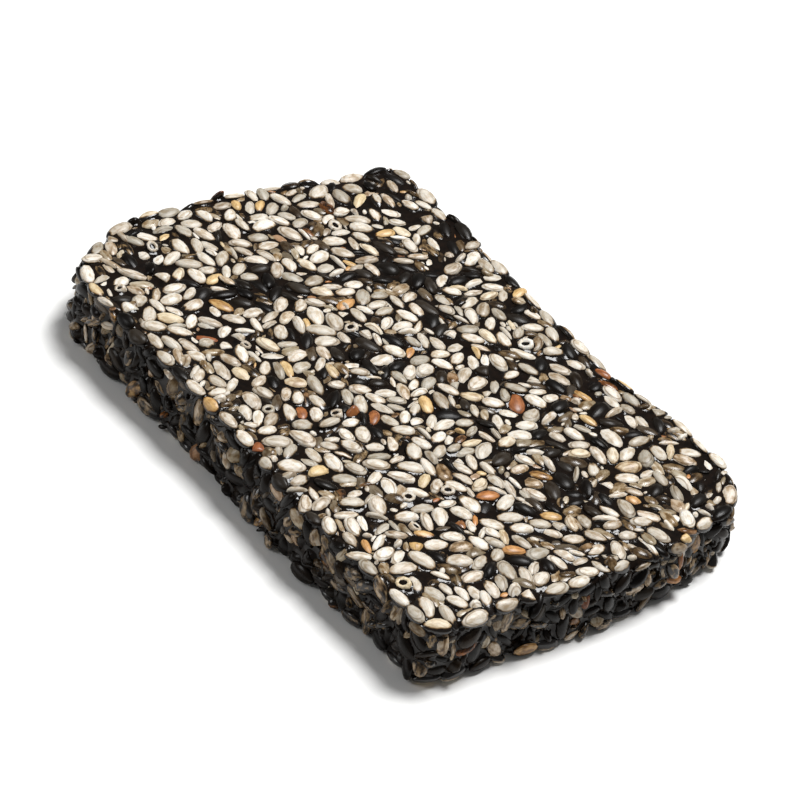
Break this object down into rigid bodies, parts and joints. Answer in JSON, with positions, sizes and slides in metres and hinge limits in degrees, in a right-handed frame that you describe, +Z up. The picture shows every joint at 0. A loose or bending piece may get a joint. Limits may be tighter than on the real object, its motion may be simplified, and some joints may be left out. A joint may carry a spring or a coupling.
{
  "type": "sesame brittle slab",
  "caption": "Flat hand-cut slab of sesame brittle: pale and black sesame seeds set tightly in dark malt syrup, with uneven edges and rough dark cut sides.",
  "frame": {"origin": "middle of the slab's footprint, on the surface it rests on", "axes": "+Z up through the slab's thickness, +Y along its long side, +X across its short side"},
  "size_m": [0.055, 0.0778, 0.0093],
  "materials": {
    "malt_syrup": "near-black brown boiled malt syrup, glossy, filling the gaps between the seeds",
    "pale_sesame": "hulled sesame seed, off-white to cream, under a thin broken film of syrup",
    "toasted_sesame": "toasted sesame seed, straw yellow to amber brown",
    "black_sesame": "black sesame seed, under a film of syrup"
  },
  "bodies": {
    "root": {"brittle_slab": "malt_syrup"}
  },
  "joints": []
}
